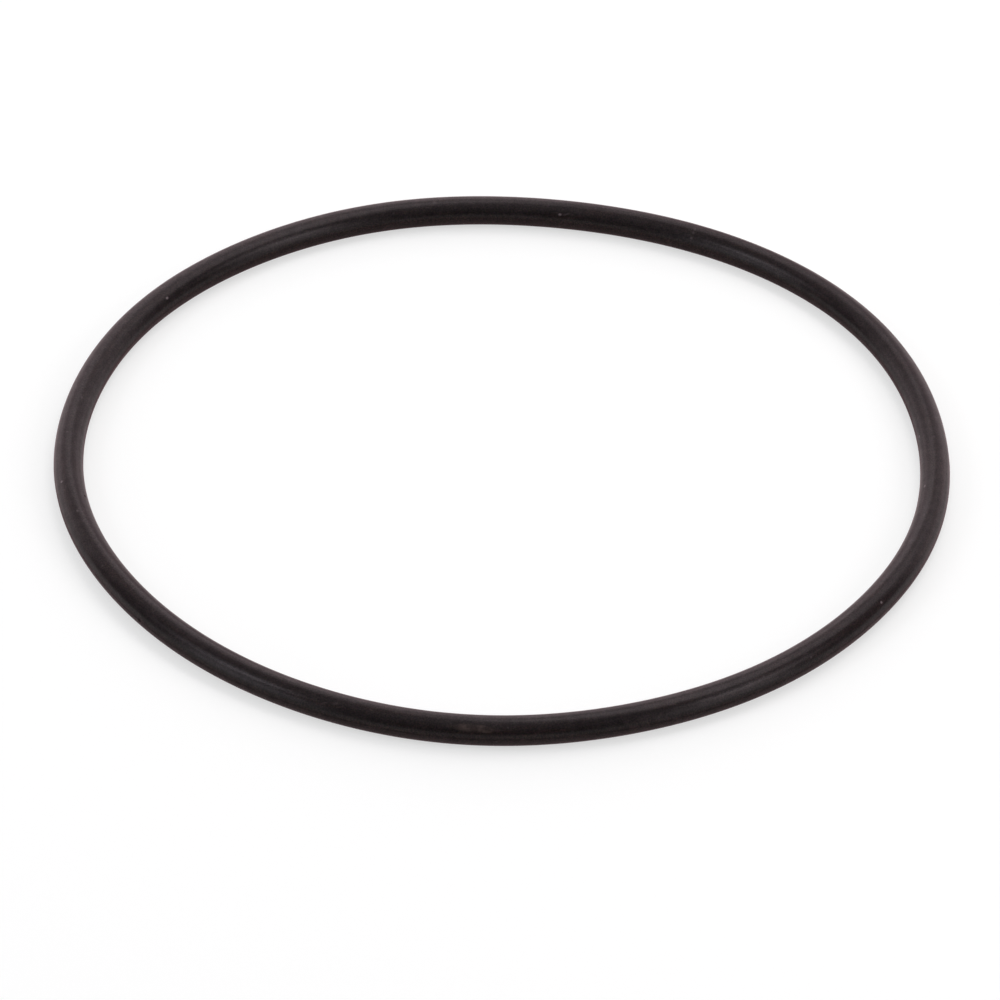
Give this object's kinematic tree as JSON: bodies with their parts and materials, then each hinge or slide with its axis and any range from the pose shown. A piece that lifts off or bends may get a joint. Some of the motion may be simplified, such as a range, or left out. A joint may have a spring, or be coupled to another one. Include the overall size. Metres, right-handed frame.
{
  "type": "rubber o-ring",
  "caption": "Black moulded rubber O-ring, a closed ring of round section that seals a joint between two round parts.",
  "frame": {"origin": "centre of the ring, on the plane where the two mould halves met, half a section above the surface it rests on", "axes": "+Z along the ring's axis, up from the surface it lies on; X and Y in the plane of the ring"},
  "size_m": [0.1072, 0.1072, 0.0036],
  "materials": {
    "black_rubber": "satin"
  },
  "bodies": {
    "root": {"o_ring": "black_rubber"}
  },
  "joints": []
}
